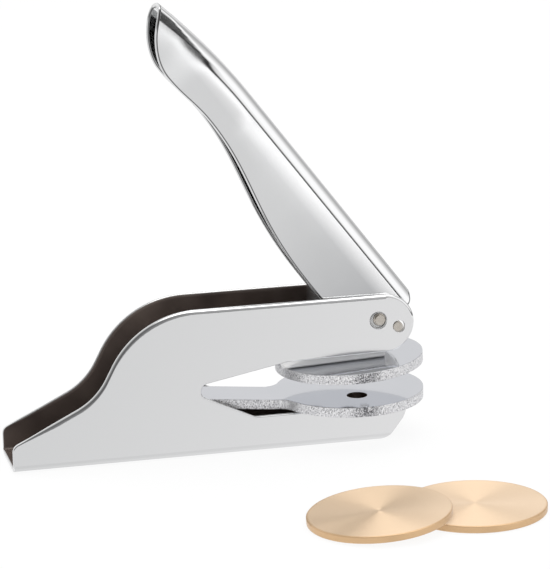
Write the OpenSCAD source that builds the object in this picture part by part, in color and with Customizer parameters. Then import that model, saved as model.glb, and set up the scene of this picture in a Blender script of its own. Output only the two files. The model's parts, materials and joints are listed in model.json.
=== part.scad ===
// Seal embosser: a folded sheet body with a throat, a folded lever handle on a
// pivot pin, and a pair of round die plates, the upper one on a hinged press arm.
// X runs along the body towards the nose, Z is up. The origin lies on the
// underside of the body, straight below the axis of the die plates.

/* [Body shell] */
// Width across the two walls of the body
body_w = 24; // [23:0.5:30]
// Thickness of the folded body sheet
body_t = 1.6; // [1.2:0.1:1.8]
// Distance from the die axis back to the rear end
body_rear = 117; // [112:1:130]
// Height of the level top edge
body_h = 50.5; // [49.5:0.5:54]
// Outer radius of the long bends along the underside
body_bend_r = 2.6; // [2:0.2:4]
// Radius of the shoulder where the level edge falls to the rear
shoulder_r = 32.5; // [28:0.5:36]
// Slope of the steep part of the rear edge, in degrees
shoulder_slope = 62; // [56:1:66]
// Slope of the low ramp at the rear end, in degrees
ramp_slope = 26.3; // [22:0.1:30]
// Height of the ramp's line where it meets the rear end
ramp_end_h = 8.8; // [8:0.2:12]
// Radius of the round nose
nose_r = 9.8; // [9:0.2:11]
// Distance of the nose's centre ahead of the die axis
nose_x = 10; // [9:0.5:12]

/* [Throat] */
// Distance from the die axis back to the centre of the throat's round end
throat_x = 50.7; // [48:0.5:52]
// Height of the throat's round end above the lower plate's face
throat_z = 6.16; // [5.2:0.02:6.8]
// Radius of the throat's round end
throat_r = 2.7; // [2.2:0.1:3]
// Slope of the throat's lower edge, in degrees
throat_low_slope = 26; // [24:1:30]
// Slope of the throat's upper edge, in degrees
throat_up_slope = 10.7; // [9:0.1:12]
// Height of the lower jaw's edge in front of the throat, from the plate's seat
jaw_z = -1.04; // [-2.4:0.02:-0.5]
// Distance from the die axis to the front of the lower jaw
jaw_front = 17; // [15:0.5:20]
// Gap between the raised upper plate and the upper jaw
jaw_gap = 3.04; // [2.6:0.02:4]

/* [Die plates] */
// Diameter of both die plates
plate_d = 50; // [47:0.5:52]
// Thickness of both die plates
plate_t = 3.3; // [2.8:0.1:3.6]
// Height of the lower plate's top face
plate_z = 16.24; // [15.9:0.1:16.6]
// Diameter of the locating holes in the plates
plate_hole_d = 7; // [5:0.5:8]
// Distance between the two locating holes of the lower plate
plate_hole_gap = 21.4; // [20:0.2:24]
// Width of the tongue that runs back from the lower plate
tongue_w = 16; // [13:0.5:17]
// Rise of the tongue towards the rear, in degrees
tongue_rise = 5.7; // [5:0.1:6]
// Radius of the fillets between plate and tongue
tongue_fillet_r = 6; // [4:0.5:8]

/* [Press arm] */
// Opening between the plates when the arm lies level
die_gap = 5.1; // [4.6:0.1:5.5]
// Tilt of the arm and the upper plate at rest, in degrees
arm_tilt = 2.5; // [2.2:0.1:2.8]
// Distance from the die axis back to the arm's pivot
arm_pivot_x = 74; // [72:0.5:76]
// Height of the arm's pivot above the lower plate's face
arm_pivot_z = 8.26; // [7.2:0.02:8.8]
// Diameter of the arm's pivot pin
arm_pin_d = 4; // [3:0.5:5]
// Thickness of the arm's sheet
arm_t = 1.6; // [1.2:0.1:1.8]
// Height of the arm's front walls, from the thrust pad's top
arm_wall_h = -0.1; // [-1.5:0.1:0.3]

/* [Handle] */
// Gap between the handle and each wall of the body
handle_gap = 1; // [0.8:0.05:1.6]
// Thickness of the handle's sheet
handle_t = 1.5; // [1.2:0.1:1.8]
// Outer radius of the handle's two long bends
handle_bend_r = 4.4; // [3.5:0.1:5]
// Height of the handle's back above the pivot line
spine_v = 14; // [13.4:0.1:14.6]
// Length of the straight part of the back, from the pivot
spine_straight = 88; // [84:1:92]
// Radius of the curved end of the back
spine_r = 197; // [160:1:240]
// Length of the handle from the pivot to its tip
handle_l = 129.5; // [126:0.5:140]
// Outer radius of the handle's bends at its tip, where they grow rounder
tip_bend_r = 6.6; // [5:0.1:8]
// How far each cheek is drawn in at the tip
tip_in = 1.2; // [0:0.1:2]
// Depth of the handle's walls below the pivot line, near the body
handle_depth = 10.9; // [10:0.1:11.2]
// Lean of the handle above the rear direction at rest, in degrees
handle_lean = 53.2; // [51:0.1:56]
// Travel of the handle from rest to closed, in degrees
handle_travel = 40; // [36:1:42]
// Diameter of the handle's pivot pin
pivot_d = 4.2; // [3.6:0.1:4.4]
// Height of the pivot pin above the nose's centre
pivot_rise = 1.5; // [1:0.1:2]
// Radius of the cam's round lobe
cam_r = 8.5; // [8:0.1:8.8]
// Distance of the lobe's centre from the pivot pin
cam_throw = 5.6; // [5:0.1:5.8]
// Diameter of the stop pin
stop_d = 3.3; // [2.8:0.1:3.4]
// Diameter of the stop pin's holes in the walls
stop_hole_d = 4; // [3.8:0.1:4.4]

/* [Return spring] */
// Diameter of the spring's wire
spring_wire = 1.2; // [1:0.1:1.4]
// Diameter across the middle of the spring's wire
spring_d = 7.6; // [7:0.1:7.8]
// Number of turns of the spring
spring_turns = 9; // [6:1:10]

/* [Dies] */
// Diameter of the brass die blanks
die_d = 46; // [44:0.5:48]
// Thickness of the brass die blanks
die_t = 2.3; // [1.8:0.1:2.6]

/* [Hidden] */
$fn = 64;
run_gap = 0.05;         // radial clearance of a pin in a moving part
fit_gap = 0.03;         // radial clearance of a fixed pin in its seat
side_gap = 0.2;         // clearance between parts that slide side by side
shim_gap = 0.1;         // clearance on each side of a washer
cam_gap = 0.15;         // gap between the cam's lobe and the thrust pad at rest
over = 40;              // length by which a cutting solid runs past the part
cut_over = 1;           // the same, where a cut has to end inside the part

half_in = body_w / 2 - body_t;                   // half the clear width inside the body
handle_w = 2 * (half_in - handle_gap);           // width across the folded handle
seat_z = plate_z - plate_t;                      // top of the walls below the lower plate
arm_pivot = [-arm_pivot_x, plate_z + arm_pivot_z];

// The upper jaw clears the raised plate, and the nose is round where its height allows.
jaw_low = plate_z + die_gap + plate_t + arm_pivot_x * sin(arm_tilt) + jaw_gap;
nose_z = (body_h + jaw_low) / 2;
nose_round = min(nose_r, (body_h - jaw_low) / 2);
pivot_back = 2.1;                                // the pivot lies behind the nose's centre
pivot = [nose_x - pivot_back, nose_z + pivot_rise];  // axis of the handle's pivot pin

// ---- outlines and helpers ----

// Points of an arc about c, from angle a0 to a1.
function arc(c, r, a0, a1, steps) = [
    for (i = [0:steps])
        let (a = a0 + (a1 - a0) * i / steps)
        c + r * [cos(a), sin(a)]
];

// Points of a cubic curve from p0 to p3, without its first point.
function curve(p0, p1, p2, p3, steps) = [
    for (i = [1:steps])
        let (t = i / steps, s = 1 - t)
        s * s * s * p0 + 3 * s * s * t * p1 + 3 * s * t * t * p2 + t * t * t * p3
];

// A solid with the outline of its 2D child in the XZ plane, w wide about y = 0.
module across(w) {
    rotate([90, 0, 0]) linear_extrude(height = w, center = true) children();
}

// A cylinder along Y at a point of the XZ plane, from y0 to y1.
module y_rod(p, r, y0, y1) {
    translate([p[0], y1, p[1]]) rotate([90, 0, 0]) cylinder(h = y1 - y0, r = r);
}

// The same rod on both sides of the middle plane, as two separate solids.
module y_rod_pair(p, r, y0, y1) {
    y_rod(p, r, y0, y1);
    y_rod(p, r, -y1, -y0);
}

// A square with its two lower corners rounded, from z = 0 up, in 2D.
module rounded_trough(w, h, r) {
    translate([-w / 2, r]) square([w, h - r]);
    translate([-w / 2 + r, 0]) square([w - 2 * r, h]);
    for (side = [-1, 1]) translate([side * (w / 2 - r), r]) circle(r = r);
}

// A folded channel section, open at the top: w wide, sheet t, outer bend radius r.
module channel_section(w, h, t, r) {
    difference() {
        rounded_trough(w, h, r);
        translate([0, t]) rounded_trough(w - 2 * t, h, r - t);
    }
}

// A channel along X from x0 to x1, with its underside at z0.
module channel(x0, x1, z0, w, h, t, r) {
    translate([x0, 0, z0]) rotate([90, 0, 90])
        linear_extrude(height = x1 - x0) channel_section(w, h, t, r);
}

// ---- body ----

// The curved rear edge falls from the shoulder in one arc, runs straight down,
// and turns out again into the ramp in a second arc.
shoulder_reach = 62.7;                           // from the rear end to the shoulder's centre
shoulder_x = shoulder_reach - body_rear;
shoulder_c = [shoulder_x, body_h - shoulder_r];
steep_l = 4.5;
steep_top = shoulder_c + shoulder_r * [-sin(shoulder_slope), cos(shoulder_slope)];
steep_end = steep_top - steep_l * [cos(shoulder_slope), sin(shoulder_slope)];
ramp_at_steep = ramp_end_h + (steep_end[0] + body_rear) * tan(ramp_slope);
hollow_r = (steep_end[1] - ramp_at_steep) / (cos(ramp_slope) - cos(shoulder_slope)
    - tan(ramp_slope) * (sin(shoulder_slope) - sin(ramp_slope)));
hollow_c = steep_end + hollow_r * [-sin(shoulder_slope), cos(shoulder_slope)];
rear_corner_r = 3;
rear_corner_z = ramp_end_h + rear_corner_r * tan(ramp_slope) - rear_corner_r / cos(ramp_slope);
rear_corner_c = [rear_corner_r - body_rear, rear_corner_z];

throat_c = [-throat_x, plate_z + throat_z];
throat_low = throat_c - throat_r * [sin(throat_low_slope), cos(throat_low_slope)];
throat_up = throat_c + throat_r * [-sin(throat_up_slope), cos(throat_up_slope)];
jaw_sag = 0.7;                                   // the upper jaw's edge falls to the throat
jaw_up_z = jaw_low - jaw_sag;
jaw_edge_z = seat_z + jaw_z;
seat_half = 15;                                  // half length of the lower plate's seat
seat_step = 1.5;                                 // length of the step behind the seat
jaw_corner_r = 6;
jaw_corner_back = 10;                            // its centre lies behind the jaw's front
jaw_corner_turn = 55;                            // degrees of arc at that corner
jaw_round_r = 12;
jaw_round_turn = 28;

function body_outline() = concat(
    [[-body_rear, 0]],
    arc([jaw_front - jaw_corner_back, jaw_corner_r], jaw_corner_r,
        -90, jaw_corner_turn - 90, 6),
    arc([jaw_front - jaw_round_r, seat_z], jaw_round_r, -jaw_round_turn, 0, 5),
    [
        [-seat_half, seat_z],
        [-seat_half - seat_step, jaw_edge_z],
        [throat_low[0] + (throat_low[1] - jaw_edge_z) / tan(throat_low_slope), jaw_edge_z]
    ],
    arc(throat_c, throat_r, 270 - throat_low_slope, 90 + throat_up_slope, 12),
    [[throat_up[0] + (jaw_up_z - throat_up[1]) / tan(throat_up_slope), jaw_up_z]],
    arc([nose_x, jaw_low + nose_round], nose_round, -90, -5, 17),
    arc([nose_x, body_h - nose_round], nose_round, 0, 90, 18),
    arc(shoulder_c, shoulder_r, 90, 90 + shoulder_slope, 20),
    arc(hollow_c, hollow_r, shoulder_slope - 90, ramp_slope - 90, 12),
    arc(rear_corner_c, rear_corner_r, 90 + ramp_slope, 180, 6)
);

// The eccentric bush's outer circle lies off the pivot's axis.
bush_shift = [-0.45, -0.25];
bush_wall = 0.75;
bush_r = pivot_d / 2 + bush_wall;

// The stop pin lies just outside the round heel of the cheeks, whose front edge meets
// it at rest. Its holes in the walls are wider than the pin and off its axis.
heel_r = 5.2;                                    // round end of the cheeks at the pivot
heel_gap = 0.22;                                 // gap between that end and the stop pin
stop_gap = 0.09;                                 // gap between the front edge and the pin
stop_angle = -25.1;                              // direction of the pin from the pivot
stop_reach = heel_r + heel_gap + stop_d / 2;
stop_pin_at = pivot + stop_reach * [cos(stop_angle), sin(stop_angle)];
stop_hole_shift = [0.2, 0.15];

module body_shell() {
    color("gainsboro")
    difference() {
        intersection() {
            channel(-body_rear - cut_over, nose_x + nose_round + over, 0,
                body_w, body_h + cut_over, body_t, body_bend_r);
            across(body_w + 2 * cut_over) polygon(body_outline());
        }
        y_rod(pivot + bush_shift, bush_r + fit_gap, -body_w, body_w);
        y_rod(stop_pin_at + stop_hole_shift, stop_hole_d / 2, -body_w, body_w);
    }
}

// ---- lower plate and what carries its tongue ----

plate_r = plate_d / 2;
hole_y = plate_hole_gap / 2;
fillet_y = tongue_w / 2 + tongue_fillet_r;
fillet_x = -sqrt(pow(plate_r + tongue_fillet_r, 2) - pow(fillet_y, 2));
bend_gap = 0.1;
bend_x = fillet_x - bend_gap;                    // where the tongue starts to rise
block_gap = 0.3;
block_front = -throat_x - throat_r - block_gap;  // the block hides behind the throat
block_l = 6.2;
tongue_end = block_front - block_l;
screw_x = block_front - block_l / 2;
screw_y = tongue_w / 4;
screw_d = 3;
screw_l = 10;                                    // depth of its hole below the tongue
screw_head_d = 5.5;
screw_head_h = 1.8;
screw_sink = 2;                                  // depth of the head's seat in the tongue
screw_slot = 1;

module plate_outline() {
    circle(r = plate_r, $fn = 120);
    translate([bend_x, -tongue_w / 2]) square([-bend_x, tongue_w]);
    for (side = [-1, 1])
        difference() {
            polygon([
                [fillet_x, 0],
                [fillet_x, side * tongue_w / 2],
                [fillet_x * plate_r / (plate_r + tongue_fillet_r),
                    side * fillet_y * plate_r / (plate_r + tongue_fillet_r)],
                [0, 0]
            ]);
            translate([fillet_x, side * fillet_y]) circle(r = tongue_fillet_r);
        }
}

// A point on the tongue's underside at x, and a frame there that follows its rise.
function tongue_under(x) = seat_z + (bend_x - x) * tan(tongue_rise);

module on_tongue(x) {
    translate([x, 0, tongue_under(x)]) rotate([0, tongue_rise, 0]) children();
}

function tongue_outline() = [
    [bend_x + cut_over, seat_z],
    [bend_x, seat_z],
    [tongue_end, tongue_under(tongue_end)],
    [tongue_end, tongue_under(tongue_end) + plate_t / cos(tongue_rise)],
    [bend_x, plate_z],
    [bend_x + cut_over, plate_z]
];

module lower_plate() {
    color("silver")
    difference() {
        union() {
            translate([0, 0, seat_z]) linear_extrude(height = plate_t) plate_outline();
            across(tongue_w) polygon(tongue_outline());
        }
        for (side = [-1, 1])
            translate([0, side * hole_y, seat_z - cut_over])
                cylinder(h = plate_t + 2 * cut_over, d = plate_hole_d);
        for (side = [-1, 1]) on_tongue(screw_x) translate([0, side * screw_y, 0]) {
            translate([0, 0, -cut_over])
                cylinder(h = plate_t + 2 * cut_over, d = screw_d + 2 * fit_gap);
            translate([0, 0, plate_t - screw_sink])
                cylinder(h = screw_sink + cut_over, d = screw_head_d + 2 * fit_gap);
        }
    }
}

module tongue_block() {
    color("dimgray")
    difference() {
        across(tongue_w) polygon([
            [block_front, body_t],
            [block_front, tongue_under(block_front)],
            [tongue_end, tongue_under(tongue_end)],
            [tongue_end, body_t]
        ]);
        for (side = [-1, 1]) on_tongue(screw_x)
            translate([0, side * screw_y, -screw_l])
                cylinder(h = screw_l + cut_over, d = screw_d + 2 * fit_gap);
    }
}

module tongue_screws() {
    color("gray")
    for (side = [-1, 1]) on_tongue(screw_x) translate([0, side * screw_y, 0])
        difference() {
            union() {
                translate([0, 0, cut_over - screw_l])
                    cylinder(h = screw_l + plate_t - screw_sink - cut_over / 2, d = screw_d);
                translate([0, 0, plate_t - screw_sink + fit_gap])
                    cylinder(h = screw_head_h, d = screw_head_d);
            }
            translate([-screw_slot / 2, -screw_head_d, plate_t - screw_slot])
                cube([screw_slot, 2 * screw_head_d, 2 * screw_slot]);
        }
}

// ---- press arm, in a frame at its pivot, level as it lies when it is closed ----

module on_arm() {
    translate([arm_pivot[0], 0, arm_pivot[1]]) rotate([0, -arm_tilt, 0]) children();
}

arm_w = 2 * (half_in - side_gap);
arm_in = arm_w / 2 - arm_t;
foot_z = die_gap + plate_t - arm_pivot_z;        // the upper plate's top face
foot_in = 0.5;                                   // the foot ends inside the plate's rim
foot_rear = arm_pivot_x - plate_d / 2 + foot_in;
foot_out = 0.3;                                  // its front end, ahead of the nose's centre
foot_front = arm_pivot_x + nose_x + foot_out;
foot_lap = 1;                                    // overlap of the foot and the belly
waist_rise = 3.3;
waist_z = foot_z + waist_rise;                   // the arm's underside above the throat
waist_sag = 0.6;                                 // it falls this much towards the spring
waist_l = 2.5;                                   // length of the step behind the foot
spring_clear = 0.5;                              // gap between the spring and the tongue
spring_out = spring_d / 2 + spring_wire / 2;     // outer radius of the spring
seat_x = arm_pivot_x + tongue_end - spring_out - spring_clear;  // the spring's axis
spring_land = 6;                                 // flat of the underside, ahead of that axis
spring_slope = 14;                               // end of the slope ahead of that flat
spring_top_rise = 0.7;
spring_top = foot_z + spring_top_rise;           // the arm's underside over the spring
boss_r = 5;
web_gap = 0.2;
web_rear = boss_r + web_gap;                     // rear end of the belly's sheet
arm_bend_in = 0.3;                               // inner radius of the arm's bends

// Underside of the arm behind its foot, from the front to the rear.
function arm_belly() = [
    [foot_rear + foot_lap, foot_z + foot_lap],
    [foot_rear - waist_l, waist_z],
    [seat_x + spring_slope, waist_z - waist_sag],
    [seat_x + spring_land, spring_top],
    [web_rear, spring_top]
];

module arm_side() {
    difference() {
        union() {
            polygon(concat(
                [[foot_rear + foot_lap, arm_top]],
                arm_belly(),
                [[0, -boss_r], [0, boss_r], [seat_x, boss_r]]
            ));
            circle(r = boss_r);
        }
        circle(d = arm_pin_d + 2 * run_gap);
    }
}

// The belly's sheet, from one side wall to the other.
module arm_web_side() {
    polygon(concat(
        arm_belly(),
        [for (i = [4:-1:0]) arm_belly()[i] + [0, arm_t]]
    ));
}

module press_arm() {
    color("darkgray")
    on_arm() difference() {
        union() {
            channel(foot_rear, foot_front, foot_z,
                arm_w, arm_top - foot_z, arm_t, arm_t + arm_bend_in);
            difference() {
                across(arm_w) arm_side();
                translate([-over, -arm_in, -over])
                    cube([over + foot_rear + 2 * foot_lap, 2 * arm_in, 2 * over]);
            }
            across(arm_w - arm_t) arm_web_side();
        }
        rivet_holes(plate_rivet_at, rivet_d, foot_z, arm_t);
        rivet_holes(pad_rivet_at, pad_rivet_d, foot_z, arm_t);
        rivet_holes([[seat_x, 0]], stud_d, spring_top, arm_t);
    }
}

// Holes for rivets of diameter d through a sheet of thickness t that lies on z0.
module rivet_holes(places, d, z0, t) {
    for (p = places) translate([p[0], p[1], z0 - cut_over])
        cylinder(h = t + 2 * cut_over, d = d + 2 * fit_gap);
}

rivet_d = 4;
rivet_head_d = 6.4;
rivet_head_h = 1.2;
rivet_edge = 0.8;                                // metal left beside a rivet's head
rivet_first = 5;                                 // first row of rivets, from the foot's rear
rivet_pitch = 9;
rivet_y = arm_in - rivet_head_d / 2 - rivet_edge;
plate_rivet_at = [
    for (x = [foot_rear + rivet_first, foot_rear + rivet_first + rivet_pitch])
        for (side = [-1, 1]) [x, side * rivet_y]
];

pad_x = arm_pivot_x + pivot[0] - cam_throw * cos(handle_travel / 2);   // below the cam
pad_l = 14;
pad_gap = 0.3;                                   // side gap between pad and cheeks
pad_w = handle_w - 2 * handle_t - 2 * pad_gap;
pad_rivet_d = 3;
pad_rivet_head_d = 5;
pad_rivet_head_h = 1;
pad_rivet_sink = 1.5;                            // depth of the head's seat in the pad
pad_rivet_x = pad_x + pad_l / 2 - pad_rivet_head_d / 2 - rivet_edge;
pad_rivet_y = pad_w / 2 - pad_rivet_head_d / 2 - rivet_edge;
pad_rivet_at = [for (side = [-1, 1]) [pad_rivet_x, side * pad_rivet_y]];

// Height of the lobe's lowest point at rest, and the pad's top below it.
lobe_rest_z = pivot[1] + cam_throw * sin(handle_travel / 2) - cam_r;
pad_top = (lobe_rest_z - cam_gap - arm_pivot[1] - pad_x * sin(arm_tilt)) / cos(arm_tilt);
arm_top = pad_top + arm_wall_h;

module upper_plate() {
    color("silver")
    on_arm() difference() {
        translate([arm_pivot_x, 0, foot_z - plate_t])
            cylinder(h = plate_t, r = plate_r, $fn = 120);
        translate([arm_pivot_x, 0, foot_z - plate_t - cut_over])
            cylinder(h = plate_t + 2 * cut_over, d = plate_hole_d);
        rivet_holes(plate_rivet_at, rivet_d, foot_z - plate_t, plate_t);
        rivet_holes(pad_rivet_at, pad_rivet_d, foot_z - plate_t, plate_t);
    }
}

module plate_rivets() {
    color("gray")
    on_arm() for (p = plate_rivet_at) translate([p[0], p[1], foot_z - plate_t]) {
        cylinder(h = plate_t + arm_t + rivet_head_h, d = rivet_d);
        translate([0, 0, plate_t + arm_t]) cylinder(h = rivet_head_h, d = rivet_head_d);
    }
}

module thrust_pad() {
    color("slategray")
    on_arm() difference() {
        translate([pad_x - pad_l / 2, -pad_w / 2, foot_z + arm_t])
            cube([pad_l, pad_w, pad_top - foot_z - arm_t]);
        rivet_holes(pad_rivet_at, pad_rivet_d, foot_z, pad_top - foot_z);
        rivet_holes(pad_rivet_at, pad_rivet_head_d, pad_top - pad_rivet_sink + cut_over,
            pad_rivet_sink);
    }
}

module pad_rivets() {
    color("gray")
    on_arm() for (p = pad_rivet_at) translate([p[0], p[1], foot_z - plate_t]) {
        cylinder(h = pad_top - foot_z + plate_t - pad_rivet_sink, d = pad_rivet_d);
        translate([0, 0, pad_top - foot_z + plate_t - pad_rivet_sink])
            cylinder(h = pad_rivet_head_h, d = pad_rivet_head_d);
    }
}

// ---- bracket that carries the arm's pivot ----

washer_t = 0.5;
bracket_w = 2 * (arm_in - washer_t - 2 * shim_gap);
bracket_back = 10;                               // length of its foot behind the pivot
bracket_ahead = 2.7;                             // and ahead of it
bracket_step = 6;                                // height at which the ears start to narrow
bracket_rear = arm_pivot[0] - bracket_back;
bracket_front = arm_pivot[0] + bracket_ahead;
bracket_bend_in = 1;
ear_r = 4.4;
washer_in = 0.4;                                 // the washer is this much smaller than the ear

module arm_bracket() {
    color("dimgray")
    difference() {
        intersection() {
            channel(bracket_rear, arm_pivot[0] + ear_r, body_t,
                bracket_w, arm_pivot[1] + ear_r, body_t, body_t + bracket_bend_in);
            across(body_w) union() {
                polygon([
                    [bracket_rear, 0],
                    [bracket_front, 0],
                    [bracket_front, bracket_step],
                    [arm_pivot[0] + ear_r, arm_pivot[1]],
                    [arm_pivot[0] - ear_r, arm_pivot[1]],
                    [bracket_rear, bracket_step]
                ]);
                translate(arm_pivot) circle(r = ear_r);
            }
        }
        y_rod(arm_pivot, arm_pin_d / 2 + fit_gap, -body_w, body_w);
    }
}

module arm_pivot_pin() {
    color("gray")
    y_rod(arm_pivot, arm_pin_d / 2, side_gap - half_in, half_in - side_gap);
}

module arm_pivot_washers() {
    color("silver")
    difference() {
        y_rod_pair(arm_pivot, ear_r - washer_in,
            bracket_w / 2 + shim_gap, bracket_w / 2 + shim_gap + washer_t);
        y_rod(arm_pivot, arm_pin_d / 2 + fit_gap, -body_w, body_w);
    }
}

// ---- return spring between the body's floor and the arm ----

seat_t = 1.5;
seat_rim = 0.2;                                  // the cup stands out round the spring
stud_d = 4;
stud_l = 3;                                      // length of the studs inside the spring
stud_gap = 0.5;                                  // gap between stud and spring
guide_d = spring_d - spring_wire - 2 * stud_gap;
spring_end_gap = 0.1;
spring_x = arm_pivot[0] + seat_x;
spring_z0 = body_t + seat_t + spring_end_gap;
spring_z1 = arm_pivot[1] + seat_x * sin(arm_tilt) + spring_top * cos(arm_tilt)
    - 2 * spring_end_gap;
spring_rings = 8;
spring_sides = 6;
spring_rise = spring_z1 - spring_z0 - spring_wire;
spring_gap = spring_rise / spring_turns - spring_wire;
echo(spring_least_gap_mm = spring_gap);

// One unbroken tube along the helix, as rings of points joined by triangles.
module coil(r, wire, z0, rise, turns, rings, sides) {
    n = turns * rings;
    pitch_angle = atan2(rise, 2 * PI * r * turns);
    points = [
        for (i = [0:n])
            let (a = 360 * i / rings, out = [cos(a), sin(a), 0],
                side = [sin(pitch_angle) * sin(a), -sin(pitch_angle) * cos(a), cos(pitch_angle)])
            for (j = [0:sides - 1])
                let (b = 360 * j / sides)
                r * out + [0, 0, z0 + wire / 2 + rise * i / n]
                    + wire / 2 * (cos(b) * out + sin(b) * side)
    ];
    walls = [
        for (i = [0:n - 1]) for (j = [0:sides - 1]) for (half = [0, 1])
            let (k = (j + 1) % sides, a = i * sides, b = (i + 1) * sides)
            half == 0 ? [a + j, b + j, b + k] : [a + j, b + k, a + k]
    ];
    ends = [
        for (j = [1:sides - 2]) for (half = [0, 1])
            half == 0 ? [0, j, j + 1] : [n * sides, n * sides + j + 1, n * sides + j]
    ];
    polyhedron(points = points, faces = concat(walls, ends));
}

module return_spring() {
    color("lightsteelblue")
    translate([spring_x, 0, 0])
        coil(spring_d / 2, spring_wire, spring_z0, spring_rise, spring_turns,
            spring_rings, spring_sides);
}

module spring_seat() {
    color("gray")
    translate([spring_x, 0, body_t]) {
        cylinder(h = seat_t, r = spring_out + seat_rim);
        cylinder(h = seat_t + stud_l, d = guide_d);
    }
}

module spring_stud() {
    color("gray")
    on_arm() translate([seat_x, 0, spring_top]) {
        translate([0, 0, -stud_l]) cylinder(h = stud_l - fit_gap, d = guide_d);
        translate([0, 0, -cut_over]) cylinder(h = arm_t + cut_over, d = stud_d);
    }
}

// ---- handle, in a frame at its pivot: X along the handle, Z towards its back ----

module on_handle() {
    translate([pivot[0], 0, pivot[1]]) mirror([1, 0, 0])
        rotate([0, -handle_lean, 0]) children();
}

// Front edge of the cheeks, which meets the stop pin at rest, and the handle's back end.
heel_u = stop_reach * cos(180 - handle_lean - stop_angle) + stop_d / 2 + stop_gap;
back_end_in = 0.6;
back_end_u = heel_u + back_end_in;
back_end_r = 3.6;                                // rounding of the back's lower end

// Lower edge of the grip: deep at the cheeks, a waist, a swell, and the slanted tip.
cheek_from = 14;
cheek_to = 24;
cheek_lead = 32;                                 // how long the edge keeps its direction
waist_u = 90;
waist_low = -2.1;
waist_lead_in = 24;
waist_lead_out = 8;
swell_back = 19.5;                               // the swell lies this far behind the tip
swell_low = -3.8;
swell_lead = 8;
tip_lead = [2.9, 6.8];                           // how the edge runs into the tip
tip_v = 10;                                      // from this height up the tip is square

// Outline of the cheeks and the grip, seen from the side.
function handle_outline() = concat(
    [[back_end_u + back_end_r, spine_v + cut_over]],
    arc([back_end_u + back_end_r, spine_v - back_end_r], back_end_r, 90, 180, 8),
    arc([0, 0], heel_r, 180 - acos(-heel_u / heel_r), 240, 8),
    [[cheek_from, -handle_depth], [cheek_to, -handle_depth]],
    curve([cheek_to, -handle_depth], [cheek_to + cheek_lead, -handle_depth],
        [waist_u - waist_lead_in, waist_low], [waist_u, waist_low], 12),
    curve([waist_u, waist_low], [waist_u + waist_lead_out, waist_low],
        [handle_l - swell_back - swell_lead, swell_low],
        [handle_l - swell_back, swell_low], 6),
    curve([handle_l - swell_back, swell_low], [handle_l - swell_back + swell_lead, swell_low],
        [handle_l, tip_v] - tip_lead, [handle_l, tip_v], 10),
    [[handle_l, spine_v + cut_over]]
);

// The folded sheet is straight along the back, then curved down. Over the last stretch
// its bends grow rounder and its cheeks are drawn in, so that the tip is an arch.
flare_l = 37;
draw_back = 25;                                  // the cheeks start to draw in this far back
draw_l = 14;
tip_over = 4;                                    // the sheet is longer than the cut outline
tip_flat = 0.2;                                  // least half flat left between the bends
tip_r = min(tip_bend_r, handle_w / 2 - tip_in - tip_flat);
sheet_depth = 30;                                // before the outline is cut
bend_steps = 8;
spine_steps = 16;

function eased(t) = t < 0 ? 0 : t > 1 ? 1 : t * t * (3 - 2 * t);
function bend_at(u) = handle_bend_r
    + (tip_r - handle_bend_r) * eased((u - handle_l + flare_l) / flare_l);
function half_at(u) = handle_w / 2 - tip_in * eased((u - handle_l + draw_back) / draw_l);

// One face of the sheet as points [y, depth below the back], from one edge to the other.
// c is the place of the bends' axes, r their outer radius, face_r their radius here.
function fold_line(c, r, face_r) = concat(
    [[-c - face_r, sheet_depth]],
    [
        for (side = [-1, 1]) for (i = [0:bend_steps])
            let (a = 90 * (side < 0 ? i : bend_steps - i) / bend_steps)
            [side * (c + face_r * cos(a)), r - face_r * sin(a)]
    ],
    [[c + face_r, sheet_depth]]
);

// The sheet's closed section, and the same section at a place along the spine: u along
// the straight part, lean round its curved end.
function fold_ring(half, r) = let (inner = fold_line(half - r, r, r - handle_t)) concat(
    fold_line(half - r, r, r),
    [for (i = [len(inner) - 1:-1:0]) inner[i]]
);
function ring_at(u, lean) = let (at = u + spine_r * sin(lean)) [
    for (q = fold_ring(half_at(at), bend_at(at)))
        [u + (spine_r - q[1]) * sin(lean), q[0],
            spine_v - spine_r + (spine_r - q[1]) * cos(lean)]
];

module handle_channel() {
    tip_angle = asin((handle_l + tip_over - spine_straight) / spine_r);
    rings = concat(
        [ring_at(heel_u - cut_over, 0)],
        [for (i = [0:spine_steps]) ring_at(spine_straight, tip_angle * i / spine_steps)]
    );
    n = len(rings[0]);
    last = (len(rings) - 1) * n;
    walls = [
        for (i = [0:len(rings) - 2]) for (j = [0:n - 1]) for (half = [0, 1])
            let (k = (j + 1) % n, a = i * n, b = (i + 1) * n)
            half == 0 ? [a + j, b + k, b + j] : [a + j, a + k, b + k]
    ];
    ends = [
        for (j = [0:n / 2 - 2]) for (half = [0, 1])
            for (first = [true, false])
                let (q = [j, j + 1, n - 2 - j, n - 1 - j])
                let (tri = half == 0 ? [q[0], q[2], q[1]] : [q[0], q[3], q[2]])
                first ? tri : [last + tri[0], last + tri[2], last + tri[1]]
    ];
    polyhedron(points = [for (ring = rings) each ring], faces = concat(walls, ends));
}

module handle_shell() {
    color("gainsboro")
    on_handle() difference() {
        intersection() {
            handle_channel();
            across(handle_w + 2 * cut_over) polygon(handle_outline());
        }
        y_rod([0, 0], pivot_d / 2 + run_gap, -body_w, body_w);
        y_rod(cam_rivet_at, cam_rivet_d / 2 + fit_gap, -body_w, body_w);
    }
}

// The lobe's centre in the handle's frame: at rest it lies half the travel above
// the pivot's level, behind the pivot.
lobe_angle = handle_travel / 2 - handle_lean;
lobe = cam_throw * [cos(lobe_angle), sin(lobe_angle)];
cam_rivet_shift = [4.8, -1.4];                   // from the lobe's centre
cam_rivet_at = lobe + cam_rivet_shift;
cam_rivet_d = 3;
cam_rivet_head_d = 4.8;
cam_rivet_head_h = 0.5;
cam_side_gap = 0.15;
cam_w = handle_w - 2 * handle_t - 2 * cam_side_gap;

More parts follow.
